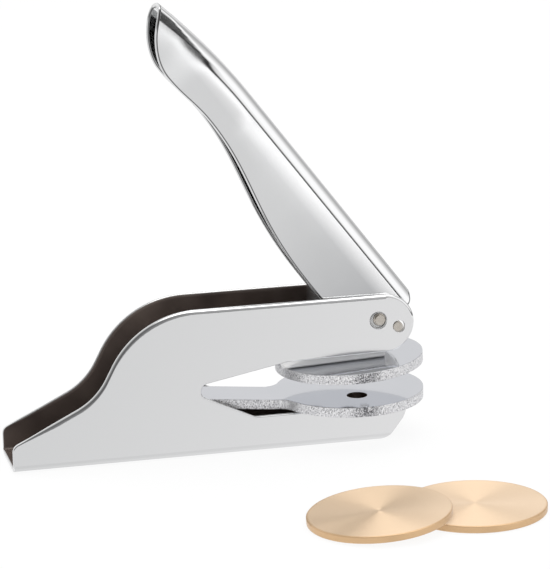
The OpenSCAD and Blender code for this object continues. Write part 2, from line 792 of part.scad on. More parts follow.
module press_cam() {
    color("slategray")
    on_handle() difference() {
        union() {
            y_rod(lobe, cam_r, -cam_w / 2, cam_w / 2);
            y_rod([0, 0], heel_r, -cam_w / 2, cam_w / 2);
        }
        y_rod([0, 0], pivot_d / 2 + run_gap, -body_w, body_w);
        y_rod(cam_rivet_at, cam_rivet_d / 2 + fit_gap, -body_w, body_w);
    }
}

module cam_rivet() {
    color("gray")
    on_handle() union() {
        y_rod(cam_rivet_at, cam_rivet_d / 2,
            -handle_w / 2 - cam_rivet_head_h, handle_w / 2 + cam_rivet_head_h);
        y_rod_pair(cam_rivet_at, cam_rivet_head_d / 2,
            handle_w / 2, handle_w / 2 + cam_rivet_head_h);
    }
}

// ---- pins through the nose ----

pin_in = 0.3;                                    // the pins' shoulders lie inside the walls
pin_step = 0.4;                                  // step round the pivot pin's turned end
pin_out = 0.6;                                   // that end stands out of the wall
bush_rim = 0.35;                                 // rim round the recess in the bush's face
bush_sink = 0.5;
spacer_d = 9.2;

module handle_pivot_pin() {
    color("tan")
    union() {
        y_rod(pivot, pivot_d / 2, pin_in - body_w / 2, body_w / 2 - pin_in);
        y_rod(pivot, pivot_d / 2 - pin_step, -body_w / 2 - pin_out, body_w / 2 + pin_out);
    }
}

module pivot_bushes() {
    color("silver")
    difference() {
        y_rod_pair(pivot + bush_shift, bush_r, half_in, body_w / 2);
        y_rod_pair(pivot + bush_shift, bush_r - bush_rim,
            body_w / 2 - bush_sink, body_w / 2 + cut_over);
        y_rod(pivot, pivot_d / 2 + fit_gap, -body_w, body_w);
    }
}

module pivot_washers() {
    color("silver")
    difference() {
        y_rod_pair(pivot, spacer_d / 2, handle_w / 2 + shim_gap, half_in - shim_gap);
        y_rod(pivot, pivot_d / 2 + fit_gap, -body_w, body_w);
    }
}

module stop_pin() {
    color("silver")
    y_rod(stop_pin_at, stop_d / 2, pin_in - body_w / 2, body_w / 2 - pin_in);
}

// ---- brass die blanks, one flat on the table and one leaning on it ----

die_lower_at = [17.7, -90.4];
die_upper_at = [-14.2, -93.8];
die_span = die_lower_at - die_upper_at;
die_lean = atan2(die_t + fit_gap, norm(die_span));
die_edge = 0.25;

// A turned disc with a small chamfer round both edges.
module die_blank() {
    rotate_extrude($fn = 120) polygon([
        [0, 0],
        [die_d / 2 - die_edge, 0],
        [die_d / 2, die_edge],
        [die_d / 2, die_t - die_edge],
        [die_d / 2 - die_edge, die_t],
        [0, die_t]
    ]);
}

module die_blank_lower() {
    color("goldenrod")
    translate([die_lower_at[0], die_lower_at[1], 0]) die_blank();
}

module die_blank_upper() {
    color("goldenrod")
    translate([die_upper_at[0], die_upper_at[1], (die_d / 2 - die_edge) * sin(die_lean)])
        rotate([0, 0, atan2(die_span[1], die_span[0])])
        rotate([0, -die_lean, 0]) die_blank();
}

body_shell();
lower_plate();
tongue_block();
tongue_screws();
arm_bracket();
arm_pivot_pin();
arm_pivot_washers();
press_arm();
upper_plate();
plate_rivets();
thrust_pad();
pad_rivets();
return_spring();
spring_seat();
spring_stud();
handle_shell();
press_cam();
cam_rivet();
handle_pivot_pin();
pivot_bushes();
pivot_washers();
stop_pin();
die_blank_lower();
die_blank_upper();
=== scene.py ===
"""Looks of the seal embosser: plated sheet, turned pins, brass blanks and a pale studio."""

import json
import math

import bpy
from mathutils import Matrix, Vector
from mathutils.geometry import delaunay_2d_cdt


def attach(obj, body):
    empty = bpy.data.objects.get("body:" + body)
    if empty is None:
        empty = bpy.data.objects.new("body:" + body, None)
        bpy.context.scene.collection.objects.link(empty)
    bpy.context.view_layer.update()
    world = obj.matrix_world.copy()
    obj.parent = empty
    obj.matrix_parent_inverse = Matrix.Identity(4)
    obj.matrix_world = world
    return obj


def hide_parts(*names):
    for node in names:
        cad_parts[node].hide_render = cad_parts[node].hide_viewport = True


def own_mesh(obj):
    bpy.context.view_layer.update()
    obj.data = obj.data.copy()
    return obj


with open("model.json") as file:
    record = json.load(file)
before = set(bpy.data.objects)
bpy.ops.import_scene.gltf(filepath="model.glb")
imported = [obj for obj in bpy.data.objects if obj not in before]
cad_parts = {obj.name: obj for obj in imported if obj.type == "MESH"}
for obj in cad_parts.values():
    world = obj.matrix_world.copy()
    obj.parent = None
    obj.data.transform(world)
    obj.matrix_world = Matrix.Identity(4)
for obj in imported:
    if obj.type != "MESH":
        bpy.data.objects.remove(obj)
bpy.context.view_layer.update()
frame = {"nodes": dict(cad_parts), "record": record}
scene = bpy.context.scene

MM = 0.001

# The camera that the photograph was taken with: angles in degrees, lengths in metres, the
# lens and the sensor in millimetres.
CAMERA_AZIMUTH = 12.716
CAMERA_ELEVATION = 14.968
CAMERA_ROLL = -1.2875
CAMERA_DISTANCE = 1.150
CAMERA_TARGET = Vector((-0.0249, 0.0, 0.05394))
CAMERA_LENS = 218.04
CAMERA_SENSOR = 36.0
CAMERA_CLIP = 0.05

# The handle's lean at rest and its pivot, in metres.
HANDLE_LEAN = math.radians(53.2)
PIVOT = Vector((7.9, 0.0, 42.2039)) * MM
# How far the lower plate's two holes lie to either side of the middle.
HOLE_ASIDE = 10.7 * MM
# Centres of the two brass blanks.
DIE_LOWER = Vector((17.7, -90.4, 0.0)) * MM
DIE_UPPER = Vector((-14.2, -93.8, 0.0)) * MM

# A corner of an outline that turns by more than SHARP_TURN is rounded in CORNER_STEPS steps, and
# the round takes at most 1 in CORNER_PARTS of each line beside it.
SHARP_TURN = math.radians(14)
CORNER_STEPS = 4
CORNER_PARTS = 3
# Stands in for a step of no length in a division.
TINY = 1e-9


# ---- curves in a plane, in millimetres ----

def clamped(t):
    return min(max(t, 0.0), 1.0)


def eased(t):
    """Rises smoothly from 0 to 1."""
    t = clamped(t)
    return t * t * (3 - 2 * t)


def arc(centre, radius, start, end, steps):
    """Points of an arc, with its angles in degrees."""
    return [Vector((centre[0] + radius * math.cos(a), centre[1] + radius * math.sin(a)))
            for a in (math.radians(start + (end - start) * i / steps) for i in range(steps + 1))]


def cubic(p0, p1, p2, p3, steps):
    """Points of a cubic curve, without its first one."""
    p0, p1, p2, p3 = Vector(p0), Vector(p1), Vector(p2), Vector(p3)
    return [(1 - t) ** 3 * p0 + 3 * (1 - t) ** 2 * t * p1 + 3 * (1 - t) * t * t * p2 + t ** 3 * p3
            for t in (i / steps for i in range(1, steps + 1))]


def softened(points, radius):
    """Rounds each sharp corner of an open line by an arc, and leaves its smooth stretches."""
    result = [points[0]]
    for before, corner, after in zip(points, points[1:], points[2:]):
        a, b = before - corner, after - corner
        turn = math.pi - a.angle(b)
        if turn < SHARP_TURN:
            result.append(corner)
            continue
        back = min(radius * math.tan(turn / 2), a.length / CORNER_PARTS, b.length / CORNER_PARTS)
        a, b = a.normalized() * back, b.normalized() * back
        centre = corner + (a + b).normalized() * back / math.sin(turn / 2)
        for i in range(CORNER_STEPS + 1):
            t = turn * i / CORNER_STEPS
            spoke = (corner + a - centre) * math.sin(turn - t) + (corner + b - centre) * math.sin(t)
            result.append(centre + spoke / math.sin(turn))
    result.append(points[-1])
    return result


def inward_normals(points, middle):
    """Unit normals of an open line, on the side where the middle lies."""
    steps = [b - a for a, b in zip(points, points[1:])]
    steps = [steps[0]] + steps + [steps[-1]]
    loop = points + [middle]
    area = sum(a.x * b.y - a.y * b.x for a, b in zip(loop, loop[1:] + loop[:1]))
    side = 1.0 if area > 0 else -1.0
    normals = []
    for a, b in zip(steps, steps[1:]):
        tangent = (a + b).normalized()
        normals.append(Vector((-tangent.y, tangent.x)) * side)
    return normals


def refined(points, normals, longest):
    """Splits the long segments of a line, and blends its normals."""
    out_points, out_normals = [points[0]], [normals[0]]
    for i in range(1, len(points)):
        count = max(1, math.ceil((points[i] - points[i - 1]).length / longest))
        for k in range(1, count + 1):
            out_points.append(points[i - 1].lerp(points[i], k / count))
            out_normals.append(normals[i - 1].lerp(normals[i], k / count).normalized())
    return out_points, out_normals


def encloses(loop, p):
    """Whether a closed line has a plane point inside it."""
    odd = False
    for a, b in zip(loop, loop[1:] + loop[:1]):
        if (a.y > p.y) != (b.y > p.y) and p.x < a.x + (b.x - a.x) * (p.y - a.y) / (b.y - a.y):
            odd = not odd
    return odd


def height_of(a, b, c):
    """Height of a triangle over its longest side."""
    return abs((b - a).cross(c - a)) / max((b - a).length, (c - b).length, (a - c).length)


# ---- folded sheets ----

class FoldedSheet:
    """A sheet folded to a U and cut through both walls by one outline, with its edges rounded.

    A place on it has w along the back, and d down from the back, in millimetres. The fold gives
    the plane point of a place and back, the half width and the bend's radius along w, and the
    thickness. Layer 0 is the outer face and layer 1 the inner one, and side is -1 or 1. The
    points of the mesh are in metres.
    """

    BEND_ROWS = 16        # rows round each bend
    FLAT_ROWS = 3         # rows on each half of the back
    EDGE_STEPS = 5        # faces round each rounded edge
    EDGE_LIMIT = 0.8      # most of the sheet's thickness that a rounded edge takes
    HOLE_EDGE = 0.25      # radius that a hole's edges are rounded by
    HOLE_STEPS = 48       # points round a hole
    LONGEST_STEP = 2.5    # longest segment of the outline
    BELOW_BEND = 0.15     # how far below the bend a wall's own cut begins
    TAPER_SHARE = 0.12    # how much the normals follow the sheet's change of width
    SLIVER = 0.00002      # height under which a triangle is left out
    MERGE = 1e-6          # distance under which two points of a wall are one
    SETTLING = 4          # rounds that bring a place's w and d together
    NUDGE = 0.05          # small step that tangents are taken over
    # The points inside a wall: their first and last depth, their steps down and along, and
    # their least distance from its border.
    GRID_TOP, GRID_BOTTOM, GRID_DOWN, GRID_ALONG, GRID_CLEAR = 1.2, 30.0, 1.6, 1.5, 0.7
    QUARTER = math.pi / 2

    def __init__(self, fold, outline, holes, columns, grid_from=None):
        self.fold, self.holes, self.columns, self.grid_from = fold, holes, columns, grid_from
        self.points, self.normals, self.faces, self.cut_share = [], [], [], {}
        line = softened(outline, fold.corner)
        inward = inward_normals(line, fold.middle)
        self.line, self.inward = refined(line, inward, self.LONGEST_STEP)
        self.inset = [p + n * fold.edge(p) for p, n in zip(self.line, self.inward)]
        half = len(self.line) // 2
        orders = (range(half), range(len(self.line) - 1, half, -1))
        # For each end of the outline, its own half of the cut and of the cut's inset line.
        self.cuts = [[self.samples(points, order) for points in (self.line, self.inset)]
                     for order in orders]
        self.span = self.wall_span()
        self.build()

    def samples(self, points, order):
        """Depth, w and inward normal of some points of the cut, in the given order."""
        result = []
        for i in order:
            w, d = self.fold.unplace(points[i])
            result.append((d, w, self.inward[i]))
        return result

    def wall_span(self):
        """First and last point of the cut that lies below both bends."""
        def deep(i):
            w, d = self.fold.unplace(self.inset[i])
            return d > self.fold.bend(w) + self.BELOW_BEND
        order = range(len(self.line))
        return next(i for i in order if deep(i)), next(i for i in reversed(order) if deep(i))

    def crossing(self, end, inset, depth):
        """Where one end of the cut, or of its inset line, lies at a depth: w and inward normal."""
        samples = self.cuts[end][inset]
        for (d0, w0, n0), (d1, w1, n1) in zip(samples, samples[1:]):
            if d0 <= depth <= d1:
                t = (depth - d0) / max(d1 - d0, TINY)
                return w0 + (w1 - w0) * t, n0.lerp(n1, t).normalized()
        return samples[0][1:]

    # A row across the sheet is ("flat", share), ("bend", angle) or ("wall", depth).
    def spot(self, layer, w, row, side):
        """Place of a row on a face: its y and depth."""
        half, r = self.fold.half(w), self.fold.bend(w)
        sink = self.fold.thickness if layer else 0.0
        kind, value = row
        if kind == "flat":
            return side * value * (half - r), sink
        if kind == "bend":
            return side * (half - r + (r - sink) * math.sin(value)), r - (r - sink) * math.cos(value)
        return side * (half - sink), value

    def world(self, w, d, y):
        p = self.fold.place(w, d)
        return self.fold.to_world(p[0], y, p[1])

    def surface(self, layer, w, row, side):
        y, d = self.spot(layer, w, row, side)
        return self.world(w, d, y)

    def lean(self, w, row):
        """How far a normal leans from the plain fold's, by the sheet's spring-back and late bend."""
        kind, value = row
        if kind == "flat":
            return 0.0
        slope, reach = self.fold.spring_back(w)
        if kind == "bend":
            return slope * (value / self.QUARTER) ** 2 - self.fold.late_turn(w, self.QUARTER - value)
        return slope * clamped(1.0 - (value - self.fold.bend(w)) / reach) ** 2

    def normal(self, layer, w, row, side):
        """Outward normal of a face, from its two tangents."""
        e = self.NUDGE
        here = self.surface(layer, w, row, side)
        along = self.surface(layer, w + e, row, side) - self.surface(layer, w - e, row, side)
        along.y *= self.TAPER_SHARE
        kind, value = row
        across = self.surface(layer, w, (kind, value + e), side) - here
        if kind == "flat":
            facing = Vector((0.0, -1.0))
        elif kind == "bend":
            facing = Vector((side * math.sin(value), -math.cos(value)))
            across += here - self.surface(layer, w, (kind, value - e), side)
        else:
            facing = Vector((side, 0.0))
        result = along.cross(across).normalized()
        y, d = self.spot(layer, w, row, side)
        ahead = self.world(w, d + e * facing.y, y + e * facing.x) - self.world(w, d, y)
        if result.dot(-ahead if layer else ahead) < 0:
            result = -result
        if kind == "flat":
            return result
        slope = self.lean(w, row) * (-1.0 if layer else 1.0)
        return result * math.cos(slope) - across.normalized() * math.sin(slope)

    def vertex(self, point, normal):
        self.points.append(point)
        self.normals.append(normal)
        return len(self.points) - 1

    def face(self, *corners):
        """A face, turned the way its normals point."""
        a, b, c = (self.points[i] for i in corners[:3])
        turn = (b - a).cross(c - a)
        if len(corners) == 4:
            turn = (c - a).cross(self.points[corners[3]] - b)
        facing = sum((self.normals[i] for i in corners), Vector((0.0, 0.0, 0.0)))
        self.faces.append(corners if turn.dot(facing) > 0 else corners[::-1])

    def column_w(self, layer, row, side, share):
        """w of a column on a row, as a share of the way between the two cut ends."""
        w = list(self.fold.ends)
        for _ in range(self.SETTLING):
            d = [self.spot(layer, w[end], row, side)[1] for end in (0, 1)]
            w = [self.crossing(end, True, d[end])[0] for end in (0, 1)]
        return w[0] + (w[1] - w[0]) * share

    def rows(self):
        """All rows across the back, from one wall to the other, as (row, side)."""
        half = [("flat", (i + 1) / self.FLAT_ROWS) for i in range(self.FLAT_ROWS)]
        half += [("bend", self.QUARTER * i / self.BEND_ROWS) for i in range(1, self.BEND_ROWS + 1)]
        return [(r, -1) for r in reversed(half)] + [(("flat", 0.0), 1)] + [(r, 1) for r in half]

    def build(self):
        rows = self.rows()
        grids = [self.grid(layer, rows) for layer in (0, 1)]
        walls = [self.wall_stations(side, [grid[k] for grid in grids])
                 for side, k in ((-1, 0), (1, -1))]
        ends = [self.end_stations(end, rows, grids) for end in (0, 1)]
        # One closed loop: one end from wall to wall, the far wall, the other end, the near wall.
        loop = ends[0] + walls[1] + ends[1][::-1] + walls[0][::-1]
        self.rim(loop + loop[:1])

    def grid(self, layer, rows):
        """One face of the back and both bends. Returns its vertices, row by row."""
        lines = []
        for row, side in rows:
            line = []
            for i in range(self.columns + 1):
                w = self.column_w(layer, row, side, i / self.columns)
                normal = self.normal(layer, w, row, side)
                line.append(self.vertex(self.surface(layer, w, row, side), normal))
            lines.append(line)
        for a, b in zip(lines, lines[1:]):
            for i in range(self.columns):
                self.face(a[i], a[i + 1], b[i + 1], b[i])
        return lines

    def wall_stations(self, side, tops):
        """Both faces of a wall and the rims of its holes. Returns the stations along its cut."""
        faces = [self.wall(layer, side, tops[layer]) for layer in (0, 1)]
        stations = []
        first, last = self.span
        for k in range(first, last + 1):
            w, d = self.fold.unplace(self.line[k])
            vertices = [cut[k - first] for cut, rings in faces]
            stations.append(self.station(vertices, [(w, self.inward[k])] * 2, ("wall", d), side,
                                         self.fold.edge(self.line[k])))
        for h, (centre, radius) in enumerate(self.holes):
            ring = []
            for k, (p, out) in enumerate(self.circle(centre, radius)):
                w, d = self.fold.unplace(p)
                vertices = [rings[h][k] for cut, rings in faces]
                ring.append(self.station(vertices, [(w, out)] * 2, ("wall", d), side, self.HOLE_EDGE))
            self.rim(ring + ring[:1])
        return stations

    def end_stations(self, end, rows, grids):
        """The stations across one end of the back and both bends."""
        column, end_w = (0, self.columns)[end], self.fold.ends[end]
        edge = self.fold.edge(self.fold.place(end_w, self.fold.bend(end_w)))
        stations = []
        for (row, side), outer, inner in zip(rows, *grids):
            cuts = []
            for layer in (0, 1):
                w = end_w
                for _ in range(self.SETTLING):
                    w, inward = self.crossing(end, False, self.spot(layer, w, row, side)[1])
                cuts.append((w, inward))
            stations.append(self.station((outer[column], inner[column]), cuts, row, side, edge))
        return stations

    def station(self, vertices, cuts, row, side, edge):
        """A place on the cut edge: the faces' vertices, the sharp corners, the way out, the radius.

        For each layer, cuts holds the w and the inward normal of the cut.
        """
        corners = [self.surface(layer, cuts[layer][0], row, side) for layer in (0, 1)]
        w, inward = cuts[0]
        y, d = self.spot(0, w, row, side)
        p = self.fold.place(w, d)
        out = self.fold.to_world(p[0] - inward.x, y, p[1] - inward.y) - self.fold.to_world(p[0], y, p[1])
        return tuple(vertices), corners, out.normalized(), edge

    def rim(self, stations):
        """The cut edge between the two faces, rounded at both, along a closed line of stations."""
        strips, made = [], {}
        for station in stations:
            if station[0] not in made:
                made[station[0]] = self.strip(*station)
            strips.append(made[station[0]])
        for a, b in zip(strips, strips[1:]):
            for i in range(len(a) - 1):
                self.face(a[i], a[i + 1], b[i + 1], b[i])

    def strip(self, vertices, corners, cut, edge):
        """Vertices across the cut edge at one station, from the outer face to the inner one.

        The round at the outer face takes up to most of the sheet, and the inner one the rest.
        """
        across = corners[1] - corners[0]
        thick = across.length
        across.normalize()
        outer_reach = min(edge * MM, thick * self.EDGE_LIMIT)
        inner_reach = min(edge * MM, (thick - outer_reach) * self.EDGE_LIMIT)
        rounds = []
        for on, corner, run in zip(vertices, corners, (across * outer_reach, -across * inner_reach)):
            to_face = self.points[on] - corner
            turn = []
            for i in range(1, self.EDGE_STEPS + 1):
                a = self.QUARTER * i / self.EDGE_STEPS
                spot = corner + to_face * (1 - math.sin(a)) + run * (1 - math.cos(a))
                aim = self.normals[on] * math.cos(a) + cut * math.sin(a)
                turn.append(self.vertex(spot, aim.normalized()))
                self.cut_share[turn[-1]] = i / self.EDGE_STEPS
            rounds.append(turn)
        return [vertices[0]] + rounds[0] + rounds[1][::-1] + [vertices[1]]

    def circle(self, centre, radius):
        """Points of a hole with the normals that point into the sheet."""
        for k in range(self.HOLE_STEPS):
            a = 2 * math.pi * k / self.HOLE_STEPS
            out = Vector((math.cos(a), math.sin(a)))
            yield Vector(centre) + out * radius, out

    def wall(self, layer, side, top):
        """One face of a wall: the plane region between the bend, the cut and the holes.

        Returns its vertices along the cut, and those round each hole.
        """
        coords, known = [], []

        def add(p, vertex=None):
            coords.append(Vector(p))
            known.append(vertex)
            return len(coords) - 1

        loop = []
        for i, v in enumerate(top):
            w = self.column_w(layer, ("bend", self.QUARTER), side, i / (len(top) - 1))
            loop.append(add(self.fold.place(w, self.fold.bend(w)), v))
        cut = [add(self.inset[k]) for k in range(self.span[0], self.span[1] + 1)]
        loop += cut[::-1]
        border = [coords[i] for i in loop]
        rings = [[add(p + out * self.HOLE_EDGE) for p, out in self.circle(centre, radius)]
                 for centre, radius in self.holes]
        edges = [pair for line in [loop] + rings for pair in zip(line, line[1:] + line[:1])]
        for p in self.grid_points(border):
            add(p)
        verts, _, tris, origin, _, _ = delaunay_2d_cdt(coords, edges, [], 0, self.MERGE)
        ids = []
        for p, source in zip(verts, origin):
            index = source[0] if source else None
            if index is not None and known[index] is not None:
                ids.append(known[index])
                continue
            w, d = self.fold.unplace(p)
            made = self.vertex(self.surface(layer, w, ("wall", d), side),
                               self.normal(layer, w, ("wall", d), side))
            if index is not None:
                known[index] = made
            ids.append(made)
        for tri in tris:
            middle = sum((verts[i] for i in tri), Vector((0.0, 0.0))) / 3
            if not encloses(border, middle) or height_of(*[verts[i] for i in tri]) < self.SLIVER:
                continue
            if any((middle - Vector(c)).length < r + self.HOLE_EDGE for c, r in self.holes):
                continue
            self.face(*[ids[i] for i in tri])
        return [known[i] for i in cut], [[known[i] for i in ring] for ring in rings]

    def grid_points(self, border):
        """Plane points inside a wall, where it is curved and needs more than its border."""
        if self.grid_from is None:
            return
        w = self.grid_from
        while w < self.fold.ends[1]:
            d = self.fold.bend(w) + self.GRID_TOP
            while d < self.GRID_BOTTOM:
                p = Vector(self.fold.place(w, d))
                if encloses(border, p) and min((p - q).length for q in border) > self.GRID_CLEAR:
                    yield p
                d += self.GRID_DOWN
            w += self.GRID_ALONG

    def make(self, name, material):
        """The sheet as a piece. Its cut_share is 0 on the faces, and 1 in the middle of a cut edge."""
        mesh = bpy.data.meshes.new(name)
        mesh.from_pydata(self.points, [], self.faces)
        mesh.polygons.foreach_set("use_smooth", [True] * len(mesh.polygons))
        mesh.materials.append(material)
        mesh.update()
        mesh.normals_split_custom_set_from_vertices(self.normals)
        share = mesh.attributes.new("cut_share", "FLOAT", "POINT")
        share.data.foreach_set("value", [self.cut_share.get(i, 0.0) for i in range(len(self.points))])
        return linked(name, mesh)


def linked(name, data):
    """A new object of the scene."""
    made = bpy.data.objects.new(name, data)
    scene.collection.objects.link(made)
    return made


class BodyFold:
    """The body's channel, open at the top: w is x, and d is the height above its underside."""

    thickness = 1.6
    ends = (-117.0, 10.0)
    middle = Vector((-60.0, 5.0))
    corner = 0.5
    HALF_WIDTH, BEND_R = 12.0, 2.6
    # Radius of the cut's outer edge, and how much wider it is on the nose and along the top.
    EDGE, NOSE_MORE, TOP_MORE = 0.4, 0.6, 1.05
    # The wide edge lies between these two, and begins at a height, over a stretch of its own.
    REAR_X, NOSE_X = -116.0, 10.0
    WIDE_FROM, WIDE_OVER = 31.5, 3.0
    # Behind this x, where the top slopes down, it begins lower.
    SLOPE_X, SLOPE = -25.0, 0.24

    def spring_back(self, w):
        return 0.0, 1.0

    def late_turn(self, w, turned):
        return 0.0

    def edge(self, p):
        """Radius of the cut's outer edge at a plane point."""
        if p[0] < self.REAR_X:
            return self.EDGE
        if p[0] > self.NOSE_X:
            return self.EDGE + self.NOSE_MORE * clamped((p[1] - self.WIDE_FROM) / self.WIDE_OVER)
        start = self.WIDE_FROM + self.SLOPE * min(p[0] - self.SLOPE_X, 0.0)
        return self.EDGE + self.TOP_MORE * clamped((p[1] - start) / self.WIDE_OVER)

    def place(self, w, d):
        return (w, d)

    def unplace(self, p):
        return (p[0], p[1])

    def half(self, w):
        return self.HALF_WIDTH

    def bend(self, w):
        return self.BEND_R

    def to_world(self, a, y, b):
        return Vector((a, y, b)) * MM


class HandleFold:
    """The handle's channel, straight and then curved down. The plane lies at its pivot."""

    thickness = 1.5
    ends = (-0.3, 129.3)
    middle = Vector((60.0, 12.0))
    corner = 1.0
    # The back is straight up to here, at this height over the pivot, and then an arc.
    STRAIGHT, BACK_V, CURVE_R = 88.0, 14.0, 197.0
    EDGE = 0.9
    # Half width and bend radius, what they lose and gain by the tip, and over which stretch.
    HALF_WIDTH, HALF_LOST, HALF_FROM, HALF_OVER = 9.4, 1.2, 104.5, 14.0
    BEND_R, BEND_GAINED, BEND_FROM, BEND_OVER = 4.4, 2.2, 92.5, 37.0
    # The cheek's slope where the bend ends, and how far down it fades: both change by the tip.
    SLOPE, SLOPE_LOST = math.radians(3.9), math.radians(2.6)
    FADE, FADE_GAINED = 4.8, 1.6
    SPRING_FROM, SPRING_OVER = 92.0, 26.0
    # By the tip the bend stays nearly flat up to one angle, steps on, and stays so up to another,
    # which grows along w. Then it catches up.
    HELD_SHARE = 0.95
    FLAT_END, STEP, STEP_OVER = math.radians(24), math.radians(2.3), math.radians(2.5)
    LAST_GROWS, LAST_FROM, LAST_OVER = math.radians(30), 108.0, 16.0
    CATCH_UP = math.radians(10)
    LATE_FROM, LATE_OVER = 95.0, 14.0

    def spring_back(self, w):
        """Slope of the cheek at the bend, and how far down it fades."""
        near = eased((w - self.SPRING_FROM) / self.SPRING_OVER)
        return self.SLOPE - self.SLOPE_LOST * near, self.FADE + self.FADE_GAINED * near

    def late_turn(self, w, turned):
        """How far the bend's normal stays behind, where a plain round bend has turned so far."""
        last = self.FLAT_END + self.LAST_GROWS * clamped((w - self.LAST_FROM) / self.LAST_OVER)
        held = self.HELD_SHARE * min(turned, last)
        held -= self.STEP * eased((turned - self.FLAT_END) / self.STEP_OVER)
        held *= 1.0 - eased((turned - last) / self.CATCH_UP)
        return held * eased((w - self.LATE_FROM) / self.LATE_OVER)

    def edge(self, p):
        return self.EDGE

    def place(self, w, d):
        if w <= self.STRAIGHT:
            return (w, self.BACK_V - d)
        lean = math.asin((w - self.STRAIGHT) / self.CURVE_R)
        reach = self.CURVE_R - d
        v = self.BACK_V - self.CURVE_R + reach * math.cos(lean)
        return (self.STRAIGHT + reach * math.sin(lean), v)

    def unplace(self, p):
        if p[0] <= self.STRAIGHT:
            return (p[0], self.BACK_V - p[1])
        du, dv = p[0] - self.STRAIGHT, p[1] - self.BACK_V + self.CURVE_R
        w = self.STRAIGHT + self.CURVE_R * math.sin(math.atan2(du, dv))
        return (w, self.CURVE_R - math.hypot(du, dv))

    def half(self, w):
        return self.HALF_WIDTH - self.HALF_LOST * eased((w - self.HALF_FROM) / self.HALF_OVER)

    def bend(self, w):
        return self.BEND_R + self.BEND_GAINED * eased((w - self.BEND_FROM) / self.BEND_OVER)

    def to_world(self, a, y, b):
        x = PIVOT.x / MM - a * math.cos(HANDLE_LEAN) + b * math.sin(HANDLE_LEAN)
        z = PIVOT.z / MM + a * math.sin(HANDLE_LEAN) + b * math.cos(HANDLE_LEAN)
        return Vector((x, y, z)) * MM


def body_outline():
    """Free edge of the body's walls, from its rear end round to the front of its underside."""
    rear, below, lip = -117.0, -1.0, 3.0
    nose, nose_r = (10.0, 40.7039), 9.7961
    jaw_end = Vector((-23.9204, 30.2078))
    shelf, shelf_from, shelf_to, shelf_rise = 12.2, -35.331, -16.2, 12.94
    foot_end = 8.553
    # The rear end, with a low lip.
    line = [Vector((rear, below)), Vector((rear, lip))]
    line += arc((-114.0, 6.9363), 3.0, 180, 116.3, 8)
    # The ramp, hollow and then round, up to the level top.
    line += arc((-105.002, 39.8621), 22.5307, -63.7, -28, 20)
    line += arc((-54.3, 18.0), 32.5, 152, 90, 40)
    # The round nose.
    line += arc(nose, nose_r, 90, 0, 30)
    line += arc(nose, nose_r, 0, -90, 30)[1:]
    # The throat: its upper edge, its round end and its lower edge.
    line += [jaw_end]
    line += arc((-50.7, 22.4), 2.7, 100.7, 244, 24)
    line += [Vector((shelf_from, shelf)), Vector((shelf_to, shelf)), Vector((-15.0, shelf_rise))]
    # The front of the foot.
    line += arc((5.0, shelf_rise), 12.0, 0, -28, 4)
    line += arc((7.0, 6.0), 6.0, -35, -75, 12)
    line += [Vector((foot_end, below))]
    return line


def handle_outline():
    """Free edge of the handle's walls, from its back end round by the grip to its tip."""
    cheek_v, waist_v, swell_v = -10.9, -2.1, -3.8
    tip_u, tip_v, above = 129.5, 10.0, 15.0
    # Round the pivot.
    line = arc((-0.2966, 10.4), 3.6, 100, 180, 14)
    line += arc((0.0, 0.0), 5.2, 149.85, 240, 24)
    # The deep cheek, the waist, the swell of the grip and the tip.
    line += [Vector((14.0, cheek_v)), Vector((24.0, cheek_v))]
    line += cubic((24.0, cheek_v), (56.0, cheek_v), (66.0, waist_v), (90.0, waist_v), 40)
    line += cubic((90.0, waist_v), (98.0, waist_v), (102.0, swell_v), (110.0, swell_v), 16)
    line += cubic((110.0, swell_v), (118.0, swell_v), (126.6, 3.2), (tip_u, tip_v), 30)
    line += [Vector((tip_u, above))]
    return line


# Holes through the walls, as (centre, radius): the pivot and the stop pin's in the body, the
# pivot and the cam rivet's in the handle.
BODY_HOLES = [((7.45, 41.9539), 2.88), ((14.5024, 39.3548), 2.0)]
HANDLE_HOLES = [((0.0, 0.0), 2.15), ((9.4859, -4.4664), 1.53)]
# Columns of faces along each back, and where the handle's cheeks begin to need points inside.
BODY_COLUMNS, HANDLE_COLUMNS = 60, 150
HANDLE_GRID_FROM = 86.0


def replace_sheets():
    """The two folded sheets, finer than their solids and with rounded edges."""
    body = FoldedSheet(BodyFold(), body_outline(), BODY_HOLES, BODY_COLUMNS)
    handle = FoldedSheet(HandleFold(), handle_outline(), HANDLE_HOLES, HANDLE_COLUMNS, HANDLE_GRID_FROM)
    for sheet, name, node, body_name, slot in (
            (body, "body_sheet", "body_shell", "base", "plated_sheet"),
            (handle, "handle_sheet", "handle_shell", "handle", "plated_handle")):
        piece = sheet.make(name, FINISHES[slot])
        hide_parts(node)
        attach(piece, body_name)


def replace_spring():
    """The return spring again, as a piece with its own mesh on the base."""
    spring = linked("spring_coil", frame["nodes"]["return_spring"].data.copy())
    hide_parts("return_spring")
    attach(spring, "base")
    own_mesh(spring)


# ---- nodes ----

